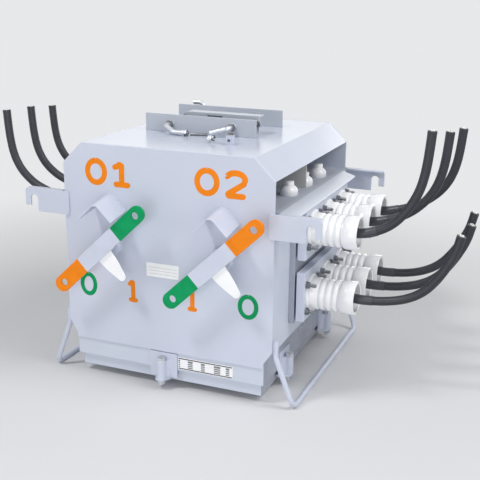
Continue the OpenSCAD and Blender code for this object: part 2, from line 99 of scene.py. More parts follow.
def colour_property(name, description, *chart):
    """A colour of the panel, its default given in a paint chart's values."""
    return FloatVectorProperty(
        name=name, description=description, subtype="COLOR", size=3, min=0, max=1,
        default=shade(*chart))


def length_property(name, description, default, low, high):
    """A length of the panel, in metres."""
    return FloatProperty(
        name=name, description=description, default=default, min=low, max=high,
        precision=4, subtype="DISTANCE", unit="LENGTH")


class SwitchColours(bpy.types.PropertyGroup):
    case: colour_property(
        "Case paint", "Stoved paint on the plates, the roof and the fittings", 200, 206, 222)
    tank: colour_property("Tank paint", "Glossy paint on the tank and its pan", 201, 208, 222)
    # A little darker than the case paint: painted shade for the shade under the roof.
    lid: colour_property("Lid paint", "Dull primer on the lid under the roof", 182, 188, 200)
    board: colour_property(
        "Barrier board", "Grey pressed board between the bays", 198, 199, 196)
    way_on: colour_property("On paint", "Orange of the on marks and lever ends", 240, 134, 20)
    way_off: colour_property("Off paint", "Green of the off marks and lever ends", 4, 152, 92)
    pointer: colour_property(
        "Pointer paint", "White of the pointers and label plates", 244, 245, 247)
    glaze: colour_property(
        "Porcelain glaze", "White of the bushings and bay insulators", 243, 244, 246)
    jacket: colour_property("Lead jacket", "Dark grey rubber of the leads", 43, 45, 53)
    zinc: colour_property("Zinc", "Galvanised bars", 216, 220, 225)
    steel: colour_property("Bolt steel", "Plated nuts, washers and threaded ends", 148, 151, 156)
    floor: colour_property("Floor", "Pale floor under the switch", 214, 215, 217)


class SwitchSizes(bpy.types.PropertyGroup):
    sheet_edge: length_property(
        "Sheet edge", "Rounding of the sheets' edges", 0.0009, 0.0002, 0.003)
    bar_edge: length_property("Bar edge", "Rounding of the levers' edges", 0.0011, 0.0002, 0.003)
    weld: length_property("Weld bead", "Radius of the weld beads", 0.0022, 0.001, 0.004)
    way_digits: length_property(
        "Way number height", "Height of the two way numbers", 0.069, 0.03, 0.09)
    state_digits: length_property(
        "State number height", "Height of the on and off numbers", 0.064, 0.03, 0.08)
    bushing_bolt: length_property(
        "Bushing bolt", "Diameter of the bushings' bolts", 0.009, 0.006, 0.012)
    clamp_bolt: length_property(
        "Clamp bolt", "Diameter of the pan clamps' bolts", 0.012, 0.008, 0.016)
    strand: length_property(
        "Strand", "Diameter of one wire in a lead's core", 0.0013, 0.001, 0.002)
    turn_steps: IntProperty(
        name="Turn steps", description="Steps round each turned piece", default=72,
        min=24, max=128)


def colours():
    return bpy.context.scene.switch_colours


def sizes():
    return bpy.context.scene.switch_sizes


# ---- finishes ----

SOFT = {"interpolation_type": "SMOOTHSTEP"}


def new_group(name, inputs, outputs):
    """An empty shader node group with the given sockets, and its input and output nodes."""
    tree = bpy.data.node_groups.new(name, "ShaderNodeTree")
    for side, sockets in (("INPUT", inputs), ("OUTPUT", outputs)):
        for label, kind in sockets:
            tree.interface.new_socket(name=label, in_out=side, socket_type="NodeSocket" + kind)
    start = tree.nodes.new("NodeGroupInput")
    end = tree.nodes.new("NodeGroupOutput")
    return tree, start.outputs, end.inputs


def add_node(tree, kind, settings=None, **values):
    """A node with its settings, and its inputs set to values or linked from sockets."""
    node = tree.nodes.new("ShaderNode" + kind)
    for key, value in (settings or {}).items():
        setattr(node, key, value)
    for key, value in values.items():
        socket = node.inputs[int(key[1:]) if key[1:].isdigit() else key]
        if isinstance(value, bpy.types.NodeSocket):
            tree.links.new(value, socket)
        else:
            socket.default_value = value
    return node


def worked_out(tree, operation, a, b):
    """The output of one sum on two sockets or values."""
    return add_node(tree, "Math", {"operation": operation}, i0=a, i1=b).outputs[0]


def tone_group(name):
    """A drifting tone: soft patches of paint or glaze, or the crystals of hot-dip zinc."""
    tree, given, out = new_group(
        name, [("Place", "Vector"), ("Colour", "Color"), ("Size", "Float"), ("Amount", "Float")],
        [("Colour", "Color")])
    if name == "Soft Tone":
        wide = add_node(tree, "TexNoise", Vector=given["Place"], Scale=given["Size"], Detail=2.0)
        drift = add_node(tree, "MapRange", SOFT, i0=wide.outputs[0], i1=0.3, i2=0.7)
    else:
        cells = add_node(tree, "TexVoronoi", Vector=given["Place"], Scale=given["Size"])
        drift = add_node(tree, "RGBToBW", Color=cells.outputs["Color"])
    low = worked_out(tree, "SUBTRACT", 1.0, given["Amount"])
    lit = add_node(tree, "MapRange", i0=drift.outputs[0], i3=low, i4=1.0)
    tone = add_node(tree, "HueSaturation", Color=given["Colour"], Value=lit.outputs[0])
    tree.links.new(tone.outputs[0], out["Colour"])
    return tree


def fine_skin_group(name):
    """The skin of stoved paint or rubber: a fine grain for the bump and a drifting roughness."""
    tree, given, out = new_group(
        name,
        [("Place", "Vector"), ("Grain", "Float"), ("Roughness", "Float"), ("Spread", "Float")],
        [("Height", "Float"), ("Roughness", "Float")])
    grain = add_node(tree, "TexNoise", Vector=given["Place"], Scale=given["Grain"], Detail=2.0)
    patch = add_node(tree, "TexNoise", Vector=given["Place"], Scale=6.0, Detail=3.0)
    low = worked_out(tree, "SUBTRACT", given["Roughness"], given["Spread"])
    high = worked_out(tree, "ADD", given["Roughness"], given["Spread"])
    rough = add_node(
        tree, "MapRange", SOFT, i0=patch.outputs[0], i1=0.25, i2=0.75, i3=low, i4=high)
    tree.links.new(grain.outputs[0], out["Height"])
    tree.links.new(rough.outputs[0], out["Roughness"])
    return tree


def place_group(tree, name, place, **values):
    """The named group, built at its first use, on this place and with these values."""
    node = tree.nodes.new("ShaderNodeGroup")
    make = fine_skin_group if name == "Fine Skin" else tone_group
    node.node_tree = bpy.data.node_groups.get(name) or make(name)
    tree.links.new(place, node.inputs["Place"])
    for key, value in values.items():
        node.inputs[key].default_value = value
    return node.outputs


def start_material(name, roughness, metallic=0.0, specular=0.5):
    """A new material with its shader's plain values set, and its nodes to build on."""
    material = bpy.data.materials.new(name)
    material.use_nodes = True
    tree = material.node_tree
    shader = tree.nodes["Principled BSDF"]
    shader.inputs["Roughness"].default_value = roughness
    shader.inputs["Metallic"].default_value = metallic
    shader.inputs["Specular IOR Level"].default_value = specular
    place = tree.nodes.new("ShaderNodeTexCoord").outputs["Object"]
    return material, tree, shader, place


def lay_tone(tree, shader, place, colour, size, amount, group="Soft Tone"):
    """Gives the shader a colour that drifts by the amount, in patches or crystals."""
    tone = place_group(tree, group, place, Colour=(*colour, 1.0), Size=size, Amount=amount)
    tree.links.new(tone["Colour"], shader.inputs["Base Color"])


def lay_skin(tree, shader, place, roughness, grain, relief, spread, strength):
    """Gives the shader a drifting gloss and the fine relief of paint, glaze or rubber."""
    skin = place_group(tree, "Fine Skin", place, Grain=grain, Roughness=roughness, Spread=spread)
    tree.links.new(skin["Roughness"], shader.inputs["Roughness"])
    bump = add_node(tree, "Bump", Strength=strength, Distance=relief, Height=skin["Height"])
    tree.links.new(bump.outputs[0], shader.inputs["Normal"])


# A skin is its grain, relief, spread of roughness and strength. A mark has one roughness.
STOVED = {"skin": (420.0, 0.00005, 0.05, 0.6)}
GLOSSY = {"skin": (420.0, 0.00005, 0.03, 0.6)}
BOARD = {"skin": (260.0, 0.00005, 0.05, 0.6)}
GLAZE = {"skin": (60.0, 0.0003, 0.03, 0.6)}
RUBBER = {"skin": (900.0, 0.00008, 0.07, 0.5)}
MARK, ENAMEL = {"specular": 0.4}, {"specular": 0.15}
COPPER, BAR, BOLT = ({"group": "Zinc Spangle", "metallic": m} for m in (1.0, 0.75, 0.9))

# Each finish's colour (the panel's or a paint chart's), its roughness, the size of its patches
# or crystals, how far its tone drifts and what it is made of.
FINISHES = {
    "Case Paint": ("case", 0.42, 3.0, 0.05, STOVED),
    "Tank Paint": ("tank", 0.22, 3.0, 0.04, GLOSSY),
    "Roof Paint": ("case", 0.22, 3.0, 0.04, GLOSSY),
    # Lighter than the case paint: painted light on the lip's sloping face.
    "Lip Paint": ((226, 232, 244), 0.24, 3.0, 0.04, GLOSSY),
    # Darker than the case paint: painted shade, and painted reflection of dark surroundings, on
    # the side channels and the lower sides.
    "Frame Paint": ((164, 169, 182), 0.28, 3.0, 0.08, STOVED),
    # Greyer than the case paint: partly the rails' own grey paint, partly painted shade where
    # the rails stand behind one another.
    "Rail Paint": ((187, 193, 203), 0.4, 3.0, 0.06, STOVED),
    # Darker as painted shade: the lid under the roof, and the lip's flat root under the eave.
    "Lid Primer": ("lid", 0.6, 3.0, 0.12, STOVED),
    "Barrier Board": ("board", 0.7, 5.0, 0.16, BOARD),
    "Porcelain Glaze": ("glaze", 0.15, 9.0, 0.05, GLAZE),
    "Lead Rubber": ("jacket", 0.47, 22.0, 0.18, RUBBER),
    "On Enamel": ("way_on", 0.5, 40.0, 0.08, ENAMEL),
    "Off Enamel": ("way_off", 0.5, 40.0, 0.14, ENAMEL),
    "Lever Grey": ("case", 0.42, 20.0, 0.05, MARK),
    "Weld Paint": ("case", 0.4, 120.0, 0.1, MARK),
    "Pointer White": ("pointer", 0.4, 30.0, 0.04, MARK),
    "Label Black": ((42, 43, 46), 0.5, 60.0, 0.2, MARK),
    "Label Grey": ((128, 130, 134), 0.5, 60.0, 0.12, MARK),
    "Lead Sleeve": ((66, 68, 76), 0.32, 60.0, 0.14, MARK),
    "Lead Insulation": ((250, 250, 249), 0.5, 80.0, 0.05, MARK),
    "Zinc": ("zinc", 0.34, 140.0, 0.2, BAR),
    "Bolt Steel": ("steel", 0.36, 240.0, 0.45, BOLT),
    "Tinned Copper": ((206, 188, 170), 0.3, 700.0, 0.25, COPPER),
}


def finish(name):
    """The named finish, made at its first use."""
    if name in bpy.data.materials:
        return bpy.data.materials[name]
    colour, roughness, size, amount, made = FINISHES[name]
    colour = getattr(colours(), colour) if isinstance(colour, str) else shade(*colour)
    material, *parts = start_material(
        name, roughness, made.get("metallic", 0.0), made.get("specular", 0.5))
    lay_tone(*parts, colour, size, amount, made.get("group", "Soft Tone"))
    if "skin" in made:
        lay_skin(*parts, roughness, *made["skin"])
    return material


# ---- working by hand ----

def nothing_selected():
    if bpy.context.mode != "OBJECT":
        bpy.ops.object.mode_set(mode="OBJECT")
    bpy.ops.object.select_all(action="DESELECT")


def only(obj):
    """Selects this object alone and makes it active."""
    nothing_selected()
    obj.select_set(True)
    bpy.context.view_layer.objects.active = obj
    return obj


def new_piece(name):
    """The object that was just added, with its name on its mesh too."""
    obj = bpy.context.active_object
    obj.name = obj.data.name = name
    return obj


def edit(obj, kind="VERT"):
    """Opens the whole mesh for editing."""
    only(obj)
    bpy.ops.object.mode_set(mode="EDIT")
    bpy.ops.mesh.select_mode(type=kind)
    bpy.ops.mesh.select_all(action="SELECT")


def pick(obj, kind, test):
    """In edit mode, selects only the verts, edges or faces that pass the test."""
    bpy.ops.mesh.select_mode(type={"verts": "VERT", "edges": "EDGE", "faces": "FACE"}[kind])
    bpy.ops.mesh.select_all(action="DESELECT")
    mesh = bmesh.from_edit_mesh(obj.data)
    for part in getattr(mesh, kind):
        if test(part):
            part.select_set(True)
    mesh.select_flush_mode()
    bmesh.update_edit_mesh(obj.data)


def stop_editing():
    bpy.ops.object.mode_set(mode="OBJECT")
    return bpy.context.active_object


def wire(name, points, rounds=()):
    """A line of edges through the points, extruded one by one, some of its corners rounded."""
    nothing_selected()
    bpy.ops.mesh.primitive_plane_add(size=0.01, location=points[0])
    obj = new_piece(name)
    bpy.ops.object.transform_apply()
    bpy.ops.object.mode_set(mode="EDIT")
    bpy.ops.mesh.merge(type="CENTER")
    for a, b in zip(points, points[1:]):
        bpy.ops.mesh.extrude_region_move(TRANSFORM_OT_translate={"value": Vector(b) - Vector(a)})
    for spot, offset, steps in rounds:
        spot = Vector(spot)
        pick(obj, "verts", lambda v: (v.co - spot).length < 1e-5)
        bpy.ops.mesh.bevel(
            offset=offset, offset_type="OFFSET", segments=steps, profile=0.5, affect="VERTICES")
    return stop_editing()


def tidy_mesh(obj):
    """Joins doubles and points every face outwards."""
    edit(obj)
    bpy.ops.mesh.remove_doubles(threshold=2e-6)
    bpy.ops.mesh.normals_make_consistent(inside=False)
    return stop_editing()


def smooth(obj, angle):
    """Shades the piece smooth where its faces meet at less than the angle in degrees."""
    only(obj)
    bpy.ops.object.shade_smooth_by_angle(angle=math.radians(angle))
    return obj


def rounded(obj, width, segments=2, angle=38):
    """Rounds the sharp edges and keeps the flats flat in the shading."""
    only(obj)
    bpy.ops.object.shade_smooth()
    bpy.ops.object.modifier_add(type="BEVEL")
    bevel = obj.modifiers[-1]
    bevel.width, bevel.segments, bevel.angle_limit = width, segments, math.radians(angle)
    bpy.ops.object.modifier_apply(modifier=bevel.name)
    bpy.ops.object.modifier_add(type="WEIGHTED_NORMAL")
    bpy.ops.object.modifier_apply(modifier=obj.modifiers[-1].name)
    return obj


def painted_with(obj, *names):
    """Gives the piece these finishes, the first one all over."""
    obj.data.materials.clear()
    for name in names:
        obj.data.materials.append(finish(name))
    return obj


def set_down(obj, spot, axis=(0, 0, 1)):
    """Turns a piece made upright at the row frame's zero along the axis and moves it there."""
    only(obj)
    obj.rotation_mode = "QUATERNION"
    obj.rotation_quaternion = Vector(axis).to_track_quat("Z", "Y")
    obj.location = spot
    bpy.ops.object.transform_apply()
    return obj


def turned(name, outline, paint, angle=None, rounds=(), steps=None, loop=False):
    """A piece turned about +Z from its outline of (height, radius) in millimetres."""
    def spot(height, radius):
        return radius * 0.001, 0, height * 0.001

    points = [spot(*point) for point in outline]
    if loop:
        points.append(points[0])
    corners = [(spot(*point), offset * 0.001, cuts) for point, offset, cuts in rounds]
    obj = wire(name, points, corners)
    edit(obj)
    bpy.ops.mesh.remove_doubles(threshold=1e-6)
    bpy.ops.mesh.select_all(action="SELECT")
    bpy.ops.mesh.spin(
        steps=steps or sizes().turn_steps, angle=math.tau, center=(0, 0, 0), axis=(0, 0, 1))
    stop_editing()
    painted_with(tidy_mesh(obj), paint)
    return smooth(obj, angle) if angle else obj


def thickened(obj, name, radius, sides, swell=lambda i, last, spot: 1.0):
    """A wire made a round bar, swell giving how far its thickness is scaled at each point."""
    only(obj)
    bpy.ops.object.convert(target="CURVE")
    curve = bpy.context.active_object.data
    curve.dimensions = "3D"
    curve.bevel_depth, curve.bevel_resolution, curve.use_fill_caps = radius, sides, True
    for line in curve.splines:
        for i, point in enumerate(line.points):
            point.radius = swell(i, len(line.points) - 1, Vector(point.co[:3]))
    bpy.ops.object.convert(target="MESH")
    return tidy_mesh(new_piece(name))


def bend_rounds(points, radius, steps=8):
    """The rounding of each inner corner of a bar that is bent to one radius."""
    found = []
    for a, b, c in zip(points, points[1:], points[2:]):
        turn = (b - a).angle(c - b)
        found.append((b, radius * math.tan(turn / 2), steps))
    return found


# The length of one ripple along a weld.
RIPPLE = 0.0032


def bead(name, points, radius):
    """A weld bead: a bar along the line whose thickness swells with each ripple."""
    obj = wire(name, points)
    longest = max((b - a).length for a, b in zip(points, points[1:]))
    edit(obj, "EDGE")
    bpy.ops.mesh.subdivide(number_cuts=max(int(longest / RIPPLE) - 1, 1))
    stop_editing()

    def swell(i, last, spot):
        end = 0.55 if i in (0, last) else 1.0
        return end * (1 + 0.13 * math.sin(i * 2.1) + 0.05 * math.sin(i * 0.7))

    return painted_with(smooth(thickened(obj, name, radius, 2, swell), 60), "Weld Paint")


def joined(name, parts):
    """Several meshes as one piece."""
    nothing_selected()
    for part in parts:
        part.select_set(True)
    bpy.context.view_layer.objects.active = parts[0]
    if len(parts) > 1:
        bpy.ops.object.join()
    return new_piece(name)


def copied(obj, shift=(0, 0, 0), name=None):
    """A copy with its own mesh, moved by shift."""
    only(obj)
    bpy.ops.object.duplicate()
    bpy.ops.transform.translate(value=shift)
    bpy.ops.object.transform_apply()
    return new_piece(name) if name else bpy.context.active_object


def spread_out(obj, spots):
    """A copy of the piece at each spot, in place of the piece itself."""
    copies = [copied(obj, spot) for spot in spots]
    bpy.data.objects.remove(obj)
    return copies


def node_copy(node, name):
    """A copy of a frame node with its loose triangles joined into whole faces."""
    only(frame["nodes"][node])
    bpy.ops.object.duplicate()
    copy = new_piece(name)
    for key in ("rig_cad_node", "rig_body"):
        del copy[key]
    bpy.ops.object.parent_clear(type="CLEAR")
    copy.data.materials.clear()
    edit(copy)
    bpy.ops.mesh.remove_doubles(threshold=2e-5)
    bpy.ops.mesh.dissolve_limited(angle_limit=math.radians(0.5))
    return stop_editing()


def settle(obj, slot, *nodes, body="case"):
    """Lets the piece ride on its body and hides the nodes it stands for. The slot is not used.
    """
    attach(obj, body)
    if nodes:
        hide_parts(*nodes)
    return obj


def finished(node, name, paint="Case Paint", slot="paint", body="case", edge=None, angle=38):
    """A node's own shape as a finished piece: its edges rounded, painted and settled."""
    piece = rounded(node_copy(node, name), edge or sizes().sheet_edge, angle=angle)
    return settle(painted_with(piece, paint), slot, node, body=body)


# ---- bolts ----

# The pitch of every thread, in millimetres.
THREAD = 1.75


def hex_nut(name, across, height, paint):
    """A six-sided nut or bolt head, standing on zero, its top corners turned off."""
    nothing_selected()
    bpy.ops.mesh.primitive_cylinder_add(
        vertices=12, radius=across / 2, depth=height, location=(0, 0, height / 2))
    obj = new_piece(name)
    bpy.ops.object.transform_apply()
    bpy.ops.object.mode_set(mode="EDIT")

    def corner(v):
        return round(math.degrees(math.atan2(v.co.y, v.co.x)) / 30) % 2 == 0

    pick(obj, "verts", corner)
    grow = 1 / math.cos(math.radians(30))
    bpy.ops.transform.resize(value=(grow, grow, 1), center_override=(0, 0, 0))
    pick(obj, "verts", lambda v: corner(v) and v.co.z > height * 0.5)
    bpy.ops.transform.translate(value=(0, 0, -height * 0.14))
    pick(obj, "faces", lambda f: f.normal.z > 0.7)
    bpy.ops.mesh.inset(thickness=across * 0.035)
    bpy.ops.transform.translate(value=(0, 0, height * 0.05))
    stop_editing()
    return painted_with(smooth(tidy_mesh(obj), 25), paint)


def stud(name, diameter, length, paint):
    """A threaded end, standing on zero: ring after ring, with a chamfered tip."""
    crest, deep, top = diameter * 500, diameter * 45, length * 1000
    outline = [(0, 0), (0, crest - deep)]
    z = 0.0
    while z + THREAD < top - 1.2:
        outline += [(z + THREAD / 2, crest), (z + THREAD, crest - deep)]
        z += THREAD
    outline += [(top - 0.4, crest - deep * 1.6), (top, crest - deep * 3), (top, 0)]
    return turned(name, outline, paint, 40, steps=16)


def washer(name, outer, inner, thick, paint):
    """A flat ring, standing on zero, with rounded rims."""
    hole, rim, top = inner * 500, outer * 500, thick * 1000
    ring = turned(
        name, [(0, hole), (0, rim), (top, rim), (top, hole)], paint, steps=32, loop=True)
    return rounded(ring, thick * 0.2)


def nut_and_end(name, d, length, flat, across, *paints):
    """A washer, a nut on it and the threaded end that stands out of both."""
    thick = d * 0.2
    parts = [washer(name + "_washer", d * flat, d, thick, paints[0]),
             hex_nut(name + "_nut", d * across, d * 0.8, paints[1]),
             stud(name + "_end", d, length, paints[1])]
    set_down(parts[1], (0, 0, thick))
    return joined(name, parts)


# ---- camera and leads ----

class LOADSWITCH_OT_camera(bpy.types.Operator):
    """Sets the camera before the front right corner, a little above the roof"""
    bl_idname = "load_switch.camera"
    bl_label = "Camera"

    def execute(self, context):
        nothing_selected()
        bpy.ops.object.camera_add(
            location=at(933.12, -1817.64, 935.84),
            rotation=[math.radians(a) for a in (73.73, -0.68, 22.29)])
        camera = context.active_object
        camera.data.lens, camera.data.sensor_width = 65.83, 36.0
        camera.data.clip_start, camera.data.clip_end = 0.05, 80.0
        context.scene.camera = camera
        return {"FINISHED"}


# Each route is a list of steps from the middle of a cup's floor, outwards and upwards.
UPPER_ROUTE = [
    (0, 0), (20, 0), (40, 1), (60, 5), (80, 12), (100, 22), (119, 36), (136, 54), (151, 75),
    (164, 98), (174, 122), (181, 148), (186, 178), (190, 218), (193, 260)]
LOWER_ROUTE = [
    (0, 0), (24, 0), (48, -1), (72, 0), (96, 2), (120, 6), (144, 12), (167, 21), (188, 33),
    (207, 49), (223, 68), (238, 90), (252, 115), (266, 146), (277, 188)]
LOAD_ROUTE = [
    (0, 0), (21, 0), (43, 1), (65, 4), (87, 9), (109, 16), (131, 24), (154, 34), (175, 48),
    (195, 66), (211, 88), (223, 115), (231, 150), (236, 192), (239, 234)]
LINE_FLOOR, LOAD_FLOOR = 398, -333
# A lead's thickness and the wall of its sleeve, in metres.
LEAD_D, SLEEVE_WALL = 0.022, 0.0011
# Route, side, floor and height of each row, the sleeve's length in metres, then the lean and
# the drop of its front, middle and back lead.
LEAD_ROWS = {
    "upper": (UPPER_ROUTE, 1, LINE_FLOOR, UPPER_Z, 0.081, ((0, 0), (22, 18), (36, 26))),
    "lower": (LOWER_ROUTE, 1, LINE_FLOOR, LOWER_Z, 0.079, ((0, 0), (7, 3), (-3, 1))),
    "load": (LOAD_ROUTE, -1, LOAD_FLOOR, UPPER_Z, 0.053, ((0, 0), (6, 5), (15, 17))),
}


def lead_line(route, side, floor_x, y, z, lean, drop):
    """One lead's points: lean moves it outwards past its bend, and drop shortens its top."""
    last, points = len(route) - 1, []
    for i, (out, up) in enumerate(route):
        t = min(max(i - 2, 0) / 7, 1)
        shift = lean * t * t * (3 - 2 * t)
        points.append(at(floor_x + side * (out + shift), y, z + up - drop * (i / last) ** 4))
    return points


def bent_line(name, points, diameter):
    """A smooth curve through the points, straight at both ends, with a round section."""
    nothing_selected()
    bpy.ops.curve.primitive_bezier_curve_add()
    obj = new_piece(name)
    line = obj.data.splines[0]
    line.bezier_points.add(len(points) - 2)
    for point, spot in zip(line.bezier_points, points):
        point.co = spot
        point.handle_left_type = point.handle_right_type = "AUTO"
    for end in (line.bezier_points[0], line.bezier_points[-1]):
        end.handle_left_type = end.handle_right_type = "VECTOR"
    obj.data.bevel_depth, obj.data.bevel_resolution = diameter / 2, 7
    obj.data.resolution_u, obj.data.use_fill_caps = 6, True
    return obj


def sleeve(name, points, reach):
    """The shrunk sleeve over the first stretch of a lead, as far as reach along it."""
    covered = [points[0]]
    for a, b in zip(points, points[1:]):
        step = (b - a).length
        covered.append(a + (b - a) * min(reach / step, 1))
        reach -= step
        if reach <= 0:
            break
    only(bent_line(name, covered, LEAD_D + 2 * SLEEVE_WALL))
    bpy.ops.object.convert(target="MESH")
    obj = tidy_mesh(bpy.context.active_object)
    return painted_with(rounded(obj, 0.0006, 2, 60), "Lead Sleeve")


def cut_end(name):
    """The cut top of a lead: the jacket's rim, a stub of pale insulation and the strands."""
    rim = turned(
        name + "_rim",
        [(-6, 0), (-6, 11.15), (-0.6, 11.15), (0, 10.6), (0, 5.7), (-1, 5.7), (-1, 0)],
        "Lead Rubber", 30, steps=40)
    pale = turned(
        name + "_pale",
        [(-1.5, 0), (-1.5, 5.7), (3.2, 5.7), (3.7, 5.3), (3.7, 3.6), (3.2, 3.4), (3.2, 0)],
        "Lead Insulation", 30, steps=40)
    d = sizes().strand
    core = turned(
        name + "_strand", [(3.0, 0), (3.0, d * 480), (3.9, d * 480), (4.2, d * 350), (4.2, 0)],
        "Tinned Copper", 50, steps=8)
    wires = [core]
    for ring, count in ((d, 6), (2 * d, 12)):
        for k in range(count):
            angle = math.tau * k / count
            wires.append(copied(core, (ring * math.cos(angle), ring * math.sin(angle), 0)))
    return joined(name, [rim, pale] + wires)


class LOADSWITCH_OT_leads(bpy.types.Operator):
    """Lays the nine stub leads, each with its cut end and its shrunk sleeve"""
    bl_idname = "load_switch.leads"
    bl_label = "Leads"

    def execute(self, context):
        master = cut_end("lead_cut_end")
        for row, (route, side, floor_x, z, reach, shifts) in LEAD_ROWS.items():
            for (spot, y), (lean, drop) in zip(BUSHING_Y.items(), shifts):
                points = lead_line(route, side, floor_x, y, z, lean, drop)
                lead = bent_line(f"{row}_{spot}_lead", points, LEAD_D)
                lead.data.materials.append(finish("Lead Rubber"))
                direction = points[-1] - points[-2]
                tip = copied(master, name=f"{row}_{spot}_cut_end")
                set_down(tip, points[-1] - direction.normalized() * 0.001, direction)
                cover = sleeve(f"{row}_{spot}_sleeve", points, reach)
                settle(tip, "lead")
                settle(cover, "lead")
                settle(lead, "lead", f"lead_{row}_{spot}")
                length = sum((b - a).length for a, b in zip(points, points[1:]))
                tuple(points[0])
        bpy.data.objects.remove(master)
        return {"FINISHED"}


# ---- case ----

CASE_SHEETS = (
    ("front_plate", "front_sheet", "Case Paint", "paint"),
    ("back_plate", "back_sheet", "Case Paint", "paint"),
    ("roof", "roof_sheet", "Roof Paint", "paint"),
    ("bulkhead", "barrier_board", "Barrier Board", "board"),
    ("tank", "tank_body", "Tank Paint", "tank_paint"),
    ("tank_lid", "tank_cover", "Lid Primer", "tank_paint"),
    ("drip_pan", "drip_tray", "Tank Paint", "tank_paint"),
    ("rain_lip", "rain_guard", "Lip Paint", "paint"),
    # The side channel is painted darker all over as painted shade.
    ("side_frame", "side_channel", "Frame Paint", "tank_paint"),
    ("upper_bushing_plate", "upper_bushing_sheet", "Case Paint", "paint"),
    ("lower_bushing_plate", "lower_bushing_sheet", "Case Paint", "paint"),
    ("load_bushing_plate", "load_bushing_sheet", "Case Paint", "paint"),
)

# The top and the foot of an eave's slope, and how far in from the ends its welds lie.
EAVE = ((228, 557), (279, 506))
SEAM_IN = 4.6
LIP_ROOT_X = at(288, 0, 0).x
BAND_TOP_Z = at(0, 0, 61).z
# The faces of a sheet painted darker as painted shade: the lip's flat root under the eave, the
# tank's lower sides and the pan's sides.
SHADE_TONES = {
    "rain_lip": ("Lid Primer", lambda face: face.center.x < LIP_ROOT_X),
    "tank": (
        "Frame Paint", lambda face: abs(face.normal.x) > 0.5 and face.center.z < BAND_TOP_Z),
    "drip_pan": ("Frame Paint", lambda face: abs(face.normal.x) > 0.5),
}


class LOADSWITCH_OT_case(bpy.types.Operator):
    """Finishes the case: its plates, roof, tank, pan and bushing plates"""
    bl_idname = "load_switch.case"
    bl_label = "Case"

    def execute(self, context):
        for node, name, paint, slot in CASE_SHEETS:
            sheet = finished(node, name, paint, slot)
            if node in SHADE_TONES:
                tone, picked = SHADE_TONES[node]
                sheet.data.materials.append(finish(tone))
                for face in sheet.data.polygons:
                    face.material_index = int(picked(face))
        seams = [
            bead("eave_bead", [at(side * x, y, z) for x, z in EAVE], sizes().weld * 0.7)
            for y in (SEAM_IN, CASE_DEPTH - SEAM_IN) for side in (-1, 1)]
        settle(joined("roof_beads", seams), "paint")
        return {"FINISHED"}


# ---- bushings ----

LINE_LENGTH, LOAD_LENGTH = 118, 84
LINE_SEAT, LOAD_SEAT = 319, -288
# Each row's bushing length, the face it stands on, its height and the side it points to.
BUSHING_ROWS = {
    "upper": (LINE_LENGTH, LINE_SEAT, UPPER_Z, 1),
    "lower": (LINE_LENGTH, LINE_SEAT, LOWER_Z, 1),
    "load": (LOAD_LENGTH, LOAD_SEAT, UPPER_Z, -1),
}
# How far a bushing's bolts stand from its middle.
BOLT_ACROSS, BOLT_LOW, BOLT_HIGH = 42, -37, 32
# The bay insulators' distance from the middle and from the bushings' rows, and their seat.
BAY_X, BAY_SHIFT, LID_TOP = 242, 30, 432
# A bushing's end cup, and the spacing, the half width and the two radii of its ribs.
CUP_LENGTH = 37
RIB_PITCH, RIB_HALF, RIB_ROOT, RIB_CREST = 17, 7, 36, 40.5


def rib(middle):
    """One round hump of a bushing's outline."""
    angles = [math.radians(a) for a in range(0, 181, 20)]
    return [(middle - RIB_HALF * math.cos(a), RIB_ROOT + (RIB_CREST - RIB_ROOT) * math.sin(a))
            for a in angles]


def bushing(name, length):
    """A porcelain bushing, turned upright from its seat to the mouth of its end cup."""
    cup = length - CUP_LENGTH
    last = cup - 12
    count = int((last - 23) // RIB_PITCH) + 1
    first = last - RIB_PITCH * (count - 1)
    outline = [(0, 0), (0, 47), (3, 47), (5, 45), (5, RIB_CREST), (first - 11, RIB_CREST),
               (first - 9, 38.5)]
    for i in range(count):
        outline += rib(first + RIB_PITCH * i)
    outline += [
        (cup - 3, 33.5), (cup - 0.5, 33.8), (cup, 39), (cup + 3, 42), (length - 2, 42),
        (length, 40.5), (length, 36), (length - 1.5, 34), (length - 35, 34), (length - 39, 30),
        (length - 39, 0)]
    return turned(name, outline, "Porcelain Glaze", 50)


class LOADSWITCH_OT_bushings(bpy.types.Operator):
    """Turns one line bushing and one load bushing and sets nine of them in their rows"""
    bl_idname = "load_switch.bushings"
    bl_label = "Bushings"

    def execute(self, context):
        shapes = {length: bushing(f"bushing_{length}", length)
                  for length in (LINE_LENGTH, LOAD_LENGTH)}
        for row, (length, x, z, side) in BUSHING_ROWS.items():
            for spot, y in BUSHING_Y.items():
                one = copied(shapes[length], name=f"{row}_{spot}_bushing")
                settle(set_down(one, at(x, y, z), (side, 0, 0)), "porcelain", row + "_bushings")
        for shape in shapes.values():
            bpy.data.objects.remove(shape)
        return {"FINISHED"}


class LOADSWITCH_OT_bushing_bolts(bpy.types.Operator):
    """Bolts every bushing to its plate with four long bolts"""
    bl_idname = "load_switch.bushing_bolts"
    bl_label = "Bushing bolts"

    def execute(self, context):
        for row, (_, x, z, side) in BUSHING_ROWS.items():
            bolt = nut_and_end(
                "bushing_bolt", sizes().bushing_bolt, 0.025, 2.1, 1.65, "Bolt Steel",
                "Bolt Steel")
            spots = [at(x, y + dy, z + dz) for y in BUSHING_Y.values()
                     for dy in (-BOLT_ACROSS, BOLT_ACROSS) for dz in (BOLT_LOW, BOLT_HIGH)]
            bolts = spread_out(set_down(bolt, (0, 0, 0), (side, 0, 0)), spots)
            settle(joined(row + "_bushing_bolts", bolts), "zinc")
        return {"FINISHED"}


